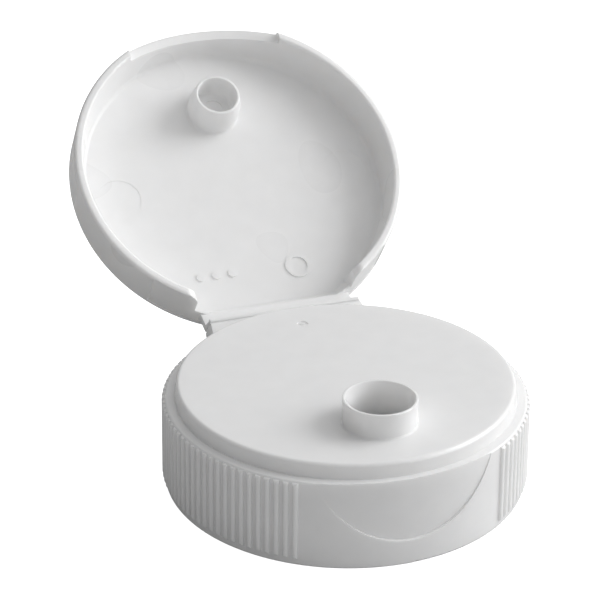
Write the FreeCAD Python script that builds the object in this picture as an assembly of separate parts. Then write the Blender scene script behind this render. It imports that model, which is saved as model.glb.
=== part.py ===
import FreeCAD, Part
import math
import os

from FreeCAD import Vector

# Flip top closure for a 38 mm bottle neck, modelled with its lid open.
# Millimetres. Z is the neck axis and points up, the open end of the skirt rests on z = 0,
# the thumb side is -Y and the living hinge is at +Y.
# The lid is shaped in its closed place first and then swung open about the hinge axis.

# Skirt
bore_radius = 18.95
bore_depth = 8.6
bore_cone_height = 0.8
lead_in_depth = 1.9
lead_in_step = 0.35
skirt_wall = 1.2
skirt_draft = 0.1
skirt_foot_round = 0.3
shoulder_height = 10.25
shoulder_round = 0.25
neck_land_step = 1.2
inside_corner_round = 0.3

# Grip ribs, on both sides of a plain front and a plain back
rib_width = 0.65
rib_height = 0.33
rib_root_depth = 0.25
rib_crest_round = 0.3
rib_end_round = 0.32
rib_pitch = 3.0
rib_first_angle = 35.7
rib_last_angle = 146.7
rib_foot_gap = 0.9
rib_head_gap = 0.2

# Thumb recess in the front of the skirt
recess_outline_radius = 10.5
recess_bottom_height = 2.95
recess_flattening = 1.85
recess_depth = 0.32

# Neck thread, 38-400 finish
thread_pitch = 4.23
thread_turns = 1.0
thread_start_height = 3.3
thread_depth = 1.2
thread_root_width = 2.0
thread_crest_width = 1.0
thread_sink = 0.25

# Deck, the raised top of the body
deck_clearance = 0.15
deck_draft = 0.2
deck_rise = 1.75
deck_edge_round = 0.45
deck_thickness = 1.2
seal_ring_inset = 1.35
seal_ring_width = 0.8
seal_ring_drop = 0.5
gate_inset = 4.55
gate_radius = 0.65
gate_depth = 0.12
gate_nub_radius = 0.28

# Dispensing spout
spout_inset = 8.55
spout_rise = 3.0
spout_bore_radius = 3.35
spout_flare = 0.45
spout_flare_depth = 1.2
spout_flare_round = 5.0
spout_lip_wall = 0.3
spout_lip_round = 0.12
spout_root_round = 0.25

# Living hinge
hinge_setback = 0.35
hinge_rise = 0.55
hinge_bead_radius = 0.3
hinge_clearance = 0.05
hinge_half_width = 9.3
hinge_land_drop = 1.8
hinge_land_slope = 0.8
hinge_land_crest = 0.6
hinge_land_flare = 0.75
open_angle = 143.4

# Lid
lid_overhang = 0.15
lid_seat_gap = 0.1
lid_headroom = 0.5
lid_top_round = 1.0
lid_plate_thickness = 1.1
lid_rim_wall = 1.1
lid_wall_draft = 0.55
lid_floor_round = 0.6
lid_rim_outer_round = 0.45
lid_rim_inner_round = 0.3
seam_inset = 6.2
seam_step = 0.15

# Thumb notch in the rim of the lid
notch_half_width = 9.6
notch_crown = 2.0
notch_arch_radius = 39.4
notch_corner_round = 0.5

# Back of the lid: sloped strap, hinge leaf and the gap in the wall around them
strap_thickness = 0.85
strap_start_inset = 3.3
strap_crease_inset = 2.1
strap_crease_drop = 2.1
strap_end_drop = 2.75
strap_corner_round = 0.5
leaf_thickness = 0.6
leaf_land_gap = 0.25
wall_gap_margin = 0.6
wall_gap_corner_round = 1.2

# Sealing plug under the lid
plug_clearance = 0.08
plug_seal_depth = 1.6
plug_root_taper = 0.2
plug_tip_taper = 0.5
plug_tip_gap = 0.55
plug_bulge_round = 6.0
plug_wall = 0.72
plug_tip_wall = 0.32
plug_foot_depth = 0.95
plug_core_round = 0.5
plug_core_step = 0.15
plug_core_step_radius = 1.2
plug_tip_round = 0.2
plug_root_round = 0.35

# Moulding marks on the inner face of the lid
mark_rise = 0.15
pip_place = (-5.4, 12.3)
pip_radius = 0.55
pip_pitch = 2.0
pip_count = 3
ring_place = (4.9, 12.6)
ring_radius = 1.6
ring_width = 0.45
pin_mark_place = (14.6, 0.2)
pin_mark_radius = 2.7
pin_mark_depth = 0.05

# Places worked out from the sizes above: body
skirt_head_radius = bore_radius + skirt_wall
skirt_foot_radius = skirt_head_radius + skirt_draft
neck_land_radius = bore_radius - neck_land_step
thread_crest_radius = bore_radius - thread_depth
seal_ring_radius = neck_land_radius - seal_ring_inset
deck_height = shoulder_height + deck_rise
deck_underside = deck_height - deck_thickness
spout_top = deck_height + spout_rise
spout_mouth_radius = spout_bore_radius + spout_flare
spout_radius = spout_mouth_radius + spout_lip_wall
recess_floor_radius = skirt_head_radius + recess_flattening
hinge_place = skirt_head_radius + hinge_setback
hinge_height = shoulder_height + hinge_rise

# Places worked out from the sizes above: lid, in its closed place
lid_radius = skirt_head_radius + lid_overhang
lid_rim_height = shoulder_height + lid_seat_gap
lid_floor_height = spout_top + lid_headroom
lid_top_height = lid_floor_height + lid_plate_thickness
lid_rim_inner_radius = lid_radius - lid_rim_wall
lid_floor_radius = lid_rim_inner_radius - lid_wall_draft
strap_start_place = lid_radius - strap_start_inset
strap_crease_place = lid_radius - strap_crease_inset
wall_gap_half_width = hinge_half_width + wall_gap_margin
seam_place = lid_radius - seam_inset

# Places on the deck, which fits inside the rim of the lid
deck_foot_radius = lid_rim_inner_radius - deck_clearance
deck_head_radius = deck_foot_radius - deck_draft
gate_place = deck_head_radius - gate_inset
spout_place = spout_inset - deck_head_radius

# Sealing plug, which fits the bore of the spout
plug_bulge_radius = spout_bore_radius - plug_clearance
plug_bulge_height = spout_top - plug_seal_depth
plug_root_radius = plug_bulge_radius - plug_root_taper
plug_tip_radius = plug_bulge_radius - plug_tip_taper
plug_tip_height = deck_underside + plug_tip_gap

UP = Vector(0, 0, 1)
ACROSS = Vector(1, 0, 0)
BACK = Vector(0, 1, 0)
OVERSIZE = 5.0


def rounded_wire(corners, to_point):
    """Closed wire through (a, b) or (a, b, round) corners; to_point turns (a, b) into a point."""
    points = [to_point(corner[0], corner[1]) for corner in corners]
    rounds = [corner[2] if len(corner) > 2 else 0.0 for corner in corners]
    count = len(points)
    starts, ends, arcs = [], [], []
    for i in range(count):
        before = (points[i - 1] - points[i]).normalize()
        after = (points[(i + 1) % count] - points[i]).normalize()
        if rounds[i] == 0.0:
            starts.append(points[i])
            ends.append(points[i])
            arcs.append(None)
            continue
        half_angle = before.getAngle(after) / 2.0
        reach = rounds[i] / math.tan(half_angle)
        bisector = (before + after).normalize()
        centre = points[i] + bisector * (rounds[i] / math.sin(half_angle))
        start = points[i] + before * reach
        end = points[i] + after * reach
        middle = centre - bisector * rounds[i]
        starts.append(start)
        ends.append(end)
        arcs.append(Part.Arc(start, middle, end).toShape())
    edges = []
    for i in range(count):
        if arcs[i] is not None:
            edges.append(arcs[i])
        following = starts[(i + 1) % count]
        if ends[i].distanceToPoint(following) > 1e-6:
            edges.append(Part.LineSegment(ends[i], following).toShape())
    return Part.Wire(Part.__sortEdges__(edges))


def turned(corners, place=0.0):
    """Solid turned about the vertical line through (0, place), from (radius, height) corners."""
    wire = rounded_wire(corners, lambda radius, height: Vector(radius, place, height))
    return Part.Face(wire).revolve(Vector(0, place, 0), UP, 360)


def across(corners, half_width):
    """Bar along X between -half_width and half_width, from (y, z) corners."""
    wire = rounded_wire(corners, lambda y, z: Vector(-half_width, y, z))
    return Part.Face(wire).extrude(ACROSS * (2.0 * half_width))


def front_to_back(corners, start, end):
    """Bar along Y from start to end, from (x, z) corners."""
    wire = rounded_wire(corners, lambda x, z: Vector(x, start, z))
    return Part.Face(wire).extrude(BACK * (end - start))


def upright(radius, bottom, top, x=0.0, y=0.0):
    """Vertical cylinder between two heights."""
    return Part.makeCylinder(radius, top - bottom, Vector(x, y, bottom), UP)


def hinge_rod(radius, half_width):
    """Cylinder on the hinge axis."""
    start = Vector(-half_width, hinge_place, hinge_height)
    return Part.makeCylinder(radius, 2.0 * half_width, start, ACROSS)


def skirt_and_deck():
    """Cup of the body: skirt, shoulder and raised deck, with the stepped bore inside."""
    cone_top = bore_depth + bore_cone_height
    return turned([
        (bore_radius + lead_in_step, 0),
        (skirt_foot_radius, 0, skirt_foot_round),
        (skirt_head_radius, shoulder_height, shoulder_round),
        (deck_foot_radius, shoulder_height),
        (deck_head_radius, deck_height, deck_edge_round),
        (0, deck_height),
        (0, deck_underside),
        (neck_land_radius, deck_underside, inside_corner_round),
        (neck_land_radius, cone_top),
        (bore_radius, bore_depth),
        (bore_radius, lead_in_depth + lead_in_step),
        (bore_radius + lead_in_step, lead_in_depth),
    ])


def thumb_recess():
    """Shallow scallop: a round outline seen from the front, with a floor rounder than the skirt."""
    outline_centre = recess_bottom_height + recess_outline_radius
    outline = Part.makeCylinder(
        recess_outline_radius,
        skirt_foot_radius,
        Vector(0, -skirt_foot_radius - OVERSIZE, outline_centre),
        BACK,
    )
    floor_centre = recess_floor_radius - (skirt_head_radius - recess_depth)
    keep = upright(recess_floor_radius, -OVERSIZE, outline_centre + recess_outline_radius + OVERSIZE, 0, floor_centre)
    return outline.cut(keep)


def one_rib():
    """Rib at the front of the skirt, leaning with the draft and rounded at both ends."""
    bottom = rib_foot_gap
    top = shoulder_height - rib_head_gap
    lean = (skirt_foot_radius - skirt_head_radius) / shoulder_height
    foot = skirt_foot_radius - lean * bottom
    head = skirt_foot_radius - lean * top
    section = rounded_wire(
        [
            (-rib_width / 2, -foot + rib_root_depth),
            (-rib_width / 2, -foot - rib_height, rib_crest_round),
            (rib_width / 2, -foot - rib_height, rib_crest_round),
            (rib_width / 2, -foot + rib_root_depth),
        ],
        lambda x, y: Vector(x, y, bottom),
    )
    bar = Part.Face(section).extrude(Vector(0, lean * (top - bottom), top - bottom))
    ends = across(
        [
            (-foot + rib_root_depth + lean, bottom),
            (-foot - rib_height, bottom, rib_end_round),
            (-head - rib_height, top, rib_end_round),
            (-foot + rib_root_depth + lean, top),
        ],
        rib_width,
    )
    return bar.common(ends)


def grip_ribs():
    """Every rib, one side after the other."""
    count = int(round((rib_last_angle - rib_first_angle) / rib_pitch)) + 1
    pattern = []
    for side in (-1, 1):
        for i in range(count):
            rib = one_rib()
            rib.rotate(Vector(0, 0, 0), UP, side * (rib_first_angle + i * rib_pitch))
            pattern.append(rib)
    return pattern


def neck_thread():
    """Single-start trapezoid thread that stands in from the bore wall."""
    root = bore_radius + thread_sink
    middle = thread_start_height
    helix = Part.makeHelix(thread_pitch, thread_pitch * thread_turns, root)
    helix.translate(Vector(0, 0, middle))
    corners = [
        (root, middle - thread_root_width / 2),
        (thread_crest_radius, middle - thread_crest_width / 2),
        (thread_crest_radius, middle + thread_crest_width / 2),
        (root, middle + thread_root_width / 2),
    ]
    section = rounded_wire(corners, lambda radius, height: Vector(radius, 0, height))
    return Part.Wire(helix.Edges).makePipeShell([section], True, True)


def seal_ring():
    """Ring under the deck that bears on the top of the bottle neck."""
    inner = seal_ring_radius - seal_ring_width / 2
    outer = seal_ring_radius + seal_ring_width / 2
    ring_bottom = deck_underside - seal_ring_drop
    return turned([
        (inner, deck_underside + thread_sink),
        (inner, ring_bottom, seal_ring_width / 4),
        (outer, ring_bottom, seal_ring_width / 4),
        (outer, deck_underside + thread_sink),
    ])


def spout():
    """Raised nozzle around the orifice, with a small fillet where it leaves the deck."""
    return turned([
        (spout_bore_radius, deck_underside),
        (spout_radius, deck_underside),
        (spout_radius, deck_height - spout_root_round),
        (spout_radius + spout_root_round, deck_height - spout_root_round),
        (spout_radius + spout_root_round, deck_height),
        (spout_radius, deck_height, spout_root_round),
        (spout_radius, spout_top, spout_lip_round),
        (spout_mouth_radius, spout_top, spout_lip_round),
        (spout_bore_radius, spout_top - spout_flare_depth, spout_flare_round),
    ], spout_place)


def gate_mark():
    """Dimple that the moulding gate leaves on the deck, with its broken stub in the middle."""
    dimple = upright(gate_radius, deck_height - gate_depth, deck_height + gate_depth, 0, gate_place)
    stub = upright(gate_nub_radius, deck_height - gate_depth, deck_height + gate_depth, 0, gate_place)
    return dimple.cut(stub), stub


def hinge_land():
    """Flat-backed block on the skirt that carries the hinge line and widens towards its foot."""
    root = neck_land_radius
    face = hinge_place - hinge_clearance
    foot = shoulder_height - hinge_land_drop
    head_half_width = hinge_half_width + hinge_clearance
    foot_half_width = head_half_width + hinge_land_flare
    side_view = across(
        [
            (root, foot),
            (face, foot + hinge_land_slope),
            (face, hinge_height),
            (face - hinge_land_crest, hinge_height),
            (root, shoulder_height - shoulder_round),
        ],
        foot_half_width,
    )
    back_view = front_to_back(
        [
            (-foot_half_width, foot),
            (foot_half_width, foot),
            (head_half_width, hinge_height),
            (-head_half_width, hinge_height),
        ],
        root,
        face,
    )
    groove = hinge_rod(hinge_bead_radius + hinge_clearance, foot_half_width)
    bore = upright(bore_radius, 0, bore_depth + bore_cone_height)
    return side_view.common(back_view).cut([groove, bore])


def make_body():
    """The whole lower moulding."""
    body = skirt_and_deck().cut(thumb_recess())
    dimple, stub = gate_mark()
    body = body.cut(dimple)
    orifice = upright(spout_bore_radius, deck_underside - OVERSIZE, deck_height + OVERSIZE, 0, spout_place)
    body = body.cut(orifice).fuse([spout(), hinge_land(), seal_ring()])
    body = body.fuse(neck_thread())
    return body.fuse(grip_ribs()).removeSplitter()


def lid_dish():
    """Plate and wall of the closed lid, before anything is cut out of it."""
    return turned([
        (lid_rim_inner_radius, lid_rim_height, lid_rim_inner_round),
        (lid_radius, lid_rim_height, lid_rim_outer_round),
        (lid_radius, lid_top_height, lid_top_round),
        (0, lid_top_height),
        (0, lid_floor_height),
        (lid_floor_radius, lid_floor_height, lid_floor_round),
    ])


def thumb_notch():
    """Arched piece taken out of the front of the rim."""
    notch_top = lid_rim_height + notch_crown
    start = -lid_radius - OVERSIZE
    arch = Part.makeCylinder(
        notch_arch_radius, lid_radius, Vector(0, start, notch_top - notch_arch_radius), BACK
    )
    side_height = math.sqrt(notch_arch_radius**2 - notch_half_width**2) - notch_arch_radius
    sides = front_to_back(
        [
            (-notch_half_width - notch_corner_round, lid_rim_height - OVERSIZE),
            (-notch_half_width, notch_top + side_height + notch_corner_round, notch_corner_round),
            (notch_half_width, notch_top + side_height + notch_corner_round, notch_corner_round),
            (notch_half_width + notch_corner_round, lid_rim_height - OVERSIZE),
        ],
        start,
        start + lid_radius,
    )
    crown = front_to_back(
        [
            (-notch_half_width, notch_top + side_height),
            (notch_half_width, notch_top + side_height),
            (notch_half_width - 2 * notch_corner_round, notch_top + OVERSIZE),
            (-notch_half_width + 2 * notch_corner_round, notch_top + OVERSIZE),
        ],
        start,
        start + lid_radius,
    )
    return arch.common(sides.fuse(crown))


def strap_line():
    """Inner line of the strap in (y, z): floor edge, crease, and where the hinge leaf begins."""
    return [
        (strap_start_place, lid_floor_height),
        (strap_crease_place, lid_floor_height - strap_crease_drop),
        (hinge_place - leaf_thickness, lid_floor_height - strap_end_drop),
    ]


def wall_root():
    """Foot of the wall that stays beside the strap, as steep as the strap's first slope."""
    start, crease, end = strap_line()
    return turned([
        (lid_floor_radius, start[1]),
        (lid_floor_radius + crease[0] - start[0], crease[1]),
        (lid_radius + OVERSIZE, crease[1]),
        (lid_radius + OVERSIZE, start[1]),
    ])


def wall_gap():
    """Space cleared behind the lid for the strap, with the corners of the wall rounded off."""
    start, crease, end = strap_line()
    beyond = lid_radius + OVERSIZE
    below = lid_rim_height - OVERSIZE
    inside = lid_floor_radius - OVERSIZE
    pocket = across(
        [
            (inside, below),
            (inside, lid_floor_height),
            (start[0], start[1], strap_corner_round),
            (crease[0], crease[1], strap_corner_round),
            end,
            (beyond, end[1]),
            (beyond, below),
        ],
        wall_gap_half_width,
    )
    flare_width = wall_gap_half_width + wall_gap_corner_round
    flare_top = lid_rim_height + wall_gap_corner_round
    flare = front_to_back(
        [
            (-flare_width, below),
            (flare_width, below),
            (flare_width, flare_top),
            (-flare_width, flare_top),
        ],
        inside,
        beyond,
    )
    for side in (-1, 1):
        corner = Vector(side * flare_width, inside, flare_top)
        flare = flare.cut(Part.makeCylinder(wall_gap_corner_round, beyond - inside, corner, BACK))
    return pocket.cut(wall_root()).fuse(flare)


def strap():
    """Sloped back panel of the lid, from the floor edge out to the hinge leaf."""
    start, crease, end = strap_line()
    plate_middle = (lid_floor_height + lid_top_height) / 2
    panel = across(
        [
            (start[0] - strap_thickness, lid_floor_height),
            (start[0], start[1], strap_corner_round),
            (crease[0], crease[1], strap_corner_round),
            end,
            (hinge_place, end[1]),
            (hinge_place, end[1] + strap_thickness, strap_corner_round),
            (crease[0] + strap_thickness / 2, crease[1] + strap_thickness, strap_corner_round),
            (start[0] + strap_thickness / 2, plate_middle),
            (start[0] - strap_thickness, plate_middle),
        ],
        hinge_half_width,
    )
    backing = across(
        [
            (start[0], start[1], strap_corner_round),
            (crease[0], crease[1], strap_corner_round),
            end,
            (lid_radius, end[1]),
            (lid_radius, plate_middle),
            (start[0], plate_middle),
        ],
        hinge_half_width,
    )
    return panel.fuse(backing.common(upright(lid_rim_inner_radius, end[1], plate_middle)))


def hinge_leaf():
    """Leaf that hangs from the strap and thins down to the hinge bead."""
    end = strap_line()[2]
    neck = hinge_place - hinge_bead_radius + hinge_clearance
    leaf = across(
        [
            (end[0], end[1] + strap_thickness / 2),
            (hinge_place, end[1] + strap_thickness / 2),
            (hinge_place, hinge_height),
            (neck, hinge_height),
            (neck, hinge_height + leaf_land_gap),
            end,
        ],
        hinge_half_width,
    )
    return leaf.fuse(hinge_rod(hinge_bead_radius, hinge_half_width))


def sealing_plug():
    """Hollow plug that stops the orifice when the lid is shut."""
    floor = lid_floor_height
    core_height = floor - plug_foot_depth
    return turned([
        (0, floor + plug_root_round),
        (plug_root_radius + plug_root_round, floor + plug_root_round),
        (plug_root_radius + plug_root_round, floor),
        (plug_root_radius, floor, plug_root_round),
        (plug_bulge_radius, plug_bulge_height, plug_bulge_round),
        (plug_tip_radius, plug_tip_height, plug_tip_round),
        (plug_tip_radius - plug_tip_wall, plug_tip_height, plug_tip_round / 2),
        (plug_root_radius - plug_wall, core_height, plug_core_round),
        (plug_core_step_radius, core_height),
        (plug_core_step_radius, core_height + plug_core_step),
        (0, core_height + plug_core_step),
    ], spout_place)


def raised_marks():
    """Row of pips and one ring that stand out of the lid's inner face."""
    bottom = lid_floor_height - mark_rise
    top = lid_floor_height + mark_rise
    marks = []
    for i in range(pip_count):
        x = pip_place[0] + (i - (pip_count - 1) / 2) * pip_pitch
        marks.append(upright(pip_radius, bottom, top, x, pip_place[1]))
    ring = upright(ring_radius, bottom, top, ring_place[0], ring_place[1])
    hole = upright(ring_radius - ring_width, bottom, top, ring_place[0], ring_place[1])
    marks.append(ring.cut(hole))
    return marks


def pin_marks():
    """Faint round prints of the two ejector pins."""
    marks = []
    for side in (-1, 1):
        x = side * pin_mark_place[0]
        y = pin_mark_place[1]
        marks.append(upright(pin_mark_radius, lid_floor_height - OVERSIZE, lid_floor_height + pin_mark_depth, x, y))
    return marks


def seam():
    """Thin shell removed from the back of the wall, which leaves the mould's parting step."""
    height = lid_top_height - lid_rim_height + 2 * OVERSIZE
    bottom = lid_rim_height - OVERSIZE
    shell = upright(lid_radius + OVERSIZE, bottom, bottom + height)
    shell = shell.cut(upright(lid_radius - seam_step, bottom, bottom + height))
    corner = Vector(-lid_radius - OVERSIZE, seam_place, bottom)
    back = Part.makeBox(2 * (lid_radius + OVERSIZE), lid_radius + OVERSIZE, height, corner)
    top_edge = lid_top_height - lid_top_round
    return shell.common(back).common(upright(lid_radius + OVERSIZE, bottom, top_edge))


def make_lid():
    """The whole upper moulding, in its closed place."""
    lid = lid_dish().cut(thumb_notch()).cut(seam()).cut(wall_gap())
    lid = lid.cut(pin_marks())
    lid = lid.fuse([strap(), hinge_leaf(), sealing_plug()])
    return lid.fuse(raised_marks()).removeSplitter()


def swung_open(shape):
    """The closed lid turned to its open place about the hinge axis."""
    opened = shape.copy()
    opened.rotate(Vector(0, hinge_place, hinge_height), ACROSS, -open_angle)
    return opened


os.makedirs("parts", exist_ok=True)
make_body().exportStep("parts/cap_body.step")
swung_open(make_lid()).exportStep("parts/flip_lid.step")
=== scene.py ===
import math

import bpy
from mathutils import Matrix, Vector

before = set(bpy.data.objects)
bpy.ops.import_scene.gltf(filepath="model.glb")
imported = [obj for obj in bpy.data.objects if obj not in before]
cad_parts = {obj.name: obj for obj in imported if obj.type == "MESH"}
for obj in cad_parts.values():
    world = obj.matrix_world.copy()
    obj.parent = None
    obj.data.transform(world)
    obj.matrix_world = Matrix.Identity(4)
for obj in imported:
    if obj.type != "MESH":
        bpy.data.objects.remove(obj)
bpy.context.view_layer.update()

MM = 0.001
scene = bpy.context.scene

# ---------------------------------------------------------------------------
# Cap body: one injection moulding in white polypropylene.
# It has one semi-gloss finish all over, whose sheen and tint vary a little from place to place.
# The lid takes the same material with a softer sheen.


def linear(hex_colour):
    """sRGB hex colour as linear RGBA."""
    channels = [int(hex_colour[i:i + 2], 16) / 255 for i in (1, 3, 5)]
    return [c / 12.92 if c <= 0.04045 else ((c + 0.055) / 1.055) ** 2.4 for c in channels] + [1.0]


def add_node(tree, kind, links=None, **settings):
    """Adds one node: settings name its attributes or input values, links name its linked inputs."""
    node = tree.nodes.new(kind)
    for name, value in settings.items():
        if hasattr(node, name):
            setattr(node, name, value)
        else:
            node.inputs[name.replace("_", " ")].default_value = value
    for name, source in (links or {}).items():
        target = node.inputs[name] if isinstance(name, int) else node.inputs[name.replace("_", " ")]
        tree.links.new(source, target)
    return node


def moulded_polypropylene(name, colour, polish, satin, grain_mm, grain_depth_mm):
    """Translucent white polypropylene: roughness drifts from polish to satin over a fine grain."""
    material = bpy.data.materials.new(name)
    material.use_nodes = True
    tree = material.node_tree
    tree.nodes.clear()
    place = add_node(tree, "ShaderNodeTexCoord").outputs["Object"]
    flow = add_node(tree, "ShaderNodeTexNoise", {"Vector": place}, Scale=1 / (14 * MM), Detail=0.0)
    sheen = add_node(
        tree, "ShaderNodeMapRange", {"Value": flow.outputs["Fac"]},
        interpolation_type="SMOOTHSTEP", From_Min=0.2, From_Max=0.8, To_Min=polish, To_Max=satin,
    )
    cloud = add_node(tree, "ShaderNodeTexNoise", {"Vector": place}, Scale=1 / (2.5 * MM), Detail=3.0)
    tint = add_node(tree, "ShaderNodeMix", {"Factor": cloud.outputs["Fac"]}, data_type="RGBA")
    tint.inputs["A"].default_value = linear(colour[0])
    tint.inputs["B"].default_value = linear(colour[1])
    grain = add_node(
        tree, "ShaderNodeTexNoise", {"Vector": place}, Scale=1 / (grain_mm * MM), Detail=2.0, Roughness=0.5
    )
    relief = add_node(
        tree, "ShaderNodeBump", {"Height": grain.outputs["Fac"]}, Strength=1.0, Distance=grain_depth_mm * MM
    )
    plastic = add_node(
        tree, "ShaderNodeBsdfPrincipled",
        {"Base_Color": tint.outputs[2], "Roughness": sheen.outputs[0], "Normal": relief.outputs["Normal"]},
        IOR=1.49, Subsurface_Weight=0.5, Subsurface_Scale=1.4 * MM,
    )
    plastic.inputs["Subsurface Radius"].default_value = (1.0, 0.97, 0.93)
    add_node(tree, "ShaderNodeOutputMaterial", {"Surface": plastic.outputs["BSDF"]})
    return material


cap_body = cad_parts["cap_body"]
cap_body.data.materials.clear()
cap_body.data.materials.append(
    moulded_polypropylene("moulded_polypropylene_body", ("#ECECEC", "#F2F2F2"), 0.20, 0.26, 0.30, 0.0012)
)

# ---------------------------------------------------------------------------
# Flip lid: the same shot of white polypropylene, standing open on its hinge.
# Its finish is a little less glossy than the body's, and the same inside and out.

flip_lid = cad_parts["flip_lid"]
flip_lid.data.materials.clear()
flip_lid.data.materials.append(
    moulded_polypropylene("moulded_polypropylene_lid", ("#ECECEC", "#F2F2F2"), 0.26, 0.34, 0.30, 0.0015)
)

# ---------------------------------------------------------------------------
# Table: a plain white sheet that runs out of view on every side.
# It bounces light like pale grey card, while the camera sees it as white with a faint contact shadow.


def table_material():
    material = bpy.data.materials.new("white_card")
    material.use_nodes = True
    tree = material.node_tree
    tree.nodes.clear()
    card = add_node(tree, "ShaderNodeBsdfDiffuse")
    card.inputs["Color"].default_value = linear("#D0D0D0")
    bright_card = add_node(tree, "ShaderNodeBsdfDiffuse")
    bright_card.inputs["Color"].default_value = linear("#FFFFFF")
    glow = add_node(tree, "ShaderNodeEmission", Strength=0.9)
    white = add_node(tree, "ShaderNodeAddShader", {0: glow.outputs[0], 1: bright_card.outputs[0]})
    path = add_node(tree, "ShaderNodeLightPath")
    seen = add_node(
        tree, "ShaderNodeMixShader",
        {"Fac": path.outputs["Is Camera Ray"], 1: card.outputs[0], 2: white.outputs[0]},
    )
    add_node(tree, "ShaderNodeOutputMaterial", {"Surface": seen.outputs[0]})
    return material


bpy.ops.mesh.primitive_plane_add(size=4.0, location=(0, 0, 0))
table = bpy.context.active_object
table.name = "table"
table.data.materials.append(table_material())

# ---------------------------------------------------------------------------
# Studio light: a white tent that is brighter on the right, and a large soft box high on the right.
# The left side of the tent is dim, so that the ribs and the groove on that side fall into shade.

world = bpy.data.worlds.new("tent")
scene.world = world
world.use_nodes = True
world.node_tree.nodes.clear()
direction = add_node(world.node_tree, "ShaderNodeTexCoord").outputs["Generated"]
towards_key = add_node(world.node_tree, "ShaderNodeVectorMath", {0: direction}, operation="DOT_PRODUCT")
towards_key.inputs[1].default_value = Vector((0.88, -0.15, 0.45)).normalized()
tent_level = add_node(
    world.node_tree, "ShaderNodeMapRange", {"Value": towards_key.outputs["Value"]},
    interpolation_type="SMOOTHSTEP", From_Min=-0.8, From_Max=0.9, To_Min=0.14, To_Max=0.74,
)
tent = add_node(world.node_tree, "ShaderNodeBackground", {"Strength": tent_level.outputs[0]})
tent.inputs["Color"].default_value = linear("#FFFFFF")
add_node(world.node_tree, "ShaderNodeOutputWorld", {"Surface": tent.outputs[0]})


def soft_box(name, place, aim, width, height, watts):
    """Rectangular area lamp at place, turned towards aim."""
    lamp = bpy.data.lights.new(name, "AREA")
    lamp.shape = "RECTANGLE"
    lamp.size = width
    lamp.size_y = height
    lamp.energy = watts
    holder = bpy.data.objects.new(name, lamp)
    holder.location = place
    holder.rotation_euler = (Vector(aim) - Vector(place)).to_track_quat("-Z", "Y").to_euler()
    scene.collection.objects.link(holder)


soft_box("soft_box_right", (0.48, -0.06, 0.30), (0, 0.01, 0.01), 0.36, 0.36, 2.1)

# ---------------------------------------------------------------------------
# Camera: a long lens above the thumb side, turned a little to the left of the cap.

azimuth = math.radians(19.807)
elevation = math.radians(26.407)
roll = math.radians(0.293)
aim = Vector((-1.911, 9.889, 17.432)) * MM
distance = 277.979 * MM

back = Vector((
    -math.sin(azimuth) * math.cos(elevation),
    -math.cos(azimuth) * math.cos(elevation),
    math.sin(elevation),
))
right = Vector((0, 0, 1)).cross(back).normalized()
up = back.cross(right)
turned_right = right * math.cos(roll) + up * math.sin(roll)
turned_up = up * math.cos(roll) - right * math.sin(roll)
camera = bpy.data.objects.new("camera", bpy.data.cameras.new("camera"))
camera.data.sensor_width = 36.0
camera.data.lens = 147.46
camera.data.clip_start = 0.01
camera.data.clip_end = 20.0
axes = Matrix((turned_right, turned_up, back)).transposed()
camera.matrix_world = Matrix.Translation(aim + back * distance) @ axes.to_4x4()
scene.collection.objects.link(camera)
scene.camera = camera

scene.view_settings.view_transform = "Standard"
